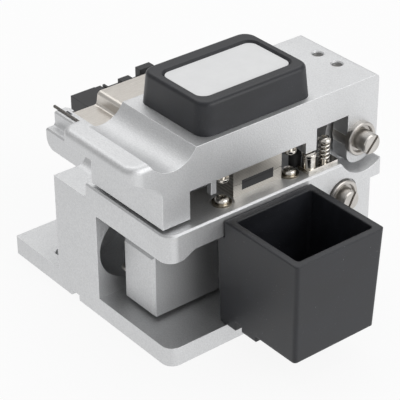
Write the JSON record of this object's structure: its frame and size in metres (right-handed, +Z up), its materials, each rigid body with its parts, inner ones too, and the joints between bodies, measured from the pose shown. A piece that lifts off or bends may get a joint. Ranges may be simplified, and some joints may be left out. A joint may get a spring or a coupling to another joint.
{
  "type": "fibre cleaver",
  "caption": "Bench fibre cleaver with a hinged lid, rubber-faced fibre clamps, a sliding blade, a hinged press plate on its left wing and a scrap bin.",
  "frame": {"origin": "centre of the underside of the base plate", "axes": "+X along the fibre towards the scrap bin, +Y towards the hinge, +Z up"},
  "size_m": [0.0927, 0.0729, 0.062],
  "materials": {
    "blasted_aluminium": "bead-blasted satin",
    "clamp_steel": "ground",
    "screw_nickel": "polished nickel",
    "turned_steel": "turned",
    "leaf_steel": "rolled",
    "washer_brass": "satin",
    "pad_black": "moulded, fine grain",
    "bin_black": "moulded, matt",
    "strip_black": "moulded",
    "clamp_rubber": "matt",
    "label_white": "satin film",
    "magnet_steel": "plated",
    "blade_carbide": "lapped"
  },
  "bodies": {
    "base": {"base_frame": "blasted_aluminium", "hinge_shaft": "turned_steel", "shaft_clip": "turned_steel", "lower_clamp_left": "clamp_steel", "lower_clamp_right": "clamp_steel", "lower_rubber_left": "clamp_rubber", "lower_rubber_right": "clamp_rubber", "lower_clamp_screws": "screw_nickel", "clamp_washers": "washer_brass", "deck_magnet": "magnet_steel", "strike_plate": "screw_nickel", "strike_stud": "screw_nickel", "spring_screw": "screw_nickel", "strike_spring": "screw_nickel", "rubber_post": "clamp_rubber", "side_washer": "turned_steel", "side_screw": "turned_steel", "slide_rail": "clamp_steel", "slide_bumper": "clamp_rubber", "port_plug": "blasted_aluminium", "fibre_guide": "strip_black", "guide_screws": "turned_steel", "guide_pin": "leaf_steel", "press_bracket": "clamp_steel", "press_pin": "turned_steel", "press_screws": "screw_nickel", "fibre_bed": "clamp_steel", "press_magnet": "magnet_steel"},
    "lid": {"lid_shell": "blasted_aluminium", "hinge_bush_left": "turned_steel", "hinge_bush_right": "turned_steel", "lid_grub_screws": "turned_steel", "hand_pad": "pad_black", "label_plate": "label_white", "upper_clamp_left": "clamp_steel", "upper_clamp_right": "clamp_steel", "upper_rubber_left": "clamp_rubber", "upper_rubber_right": "clamp_rubber", "upper_clamp_screws": "screw_nickel", "lid_magnet": "magnet_steel", "anvil_pin": "turned_steel"},
    "anvil_lever": {"anvil": "clamp_steel"},
    "slide": {"slider_block": "blasted_aluminium", "slider_pin": "turned_steel", "slide_carriage": "clamp_steel", "blade_bracket": "clamp_steel", "bracket_screws": "screw_nickel", "blade_axle": "turned_steel"},
    "blade": {"blade_wheel": "blade_carbide", "blade_hub": "turned_steel"},
    "press": {"press_plate": "leaf_steel", "press_rubber": "clamp_rubber"},
    "bin": {"scrap_bin": "bin_black"}
  },
  "joints": [
    {"name": "lid_hinge", "type": "hinge", "parent": "base", "child": "lid", "pos_m": [0.0157, 0.028, 0.0391], "axis": [-1, 0, 0], "range_deg": [0, 80]},
    {"name": "press_hinge", "type": "hinge", "parent": "base", "child": "press", "pos_m": [-0.01445, 0.0145, 0.03895], "axis": [-1, 0, 0], "range_deg": [0, 70]},
    {"name": "slider_slide", "type": "slide", "parent": "base", "child": "slide", "axis": [0, -1, 0], "range_m": [0, 0.018]},
    {"name": "blade_turn", "type": "hinge", "parent": "slide", "child": "blade", "pos_m": [0.0157, 0.0074, 0.031], "axis": [1, 0, 0], "continuous": true},
    {"name": "anvil_pivot", "type": "hinge", "parent": "lid", "child": "anvil_lever", "pos_m": [0.0157, 0.0096, 0.0462], "axis": [1, 0, 0], "range_deg": [0, 8]},
    {"name": "bin_slide", "type": "slide", "parent": "base", "child": "bin", "axis": [1, 0, 0], "range_m": [0, 0.02]}
  ]
}
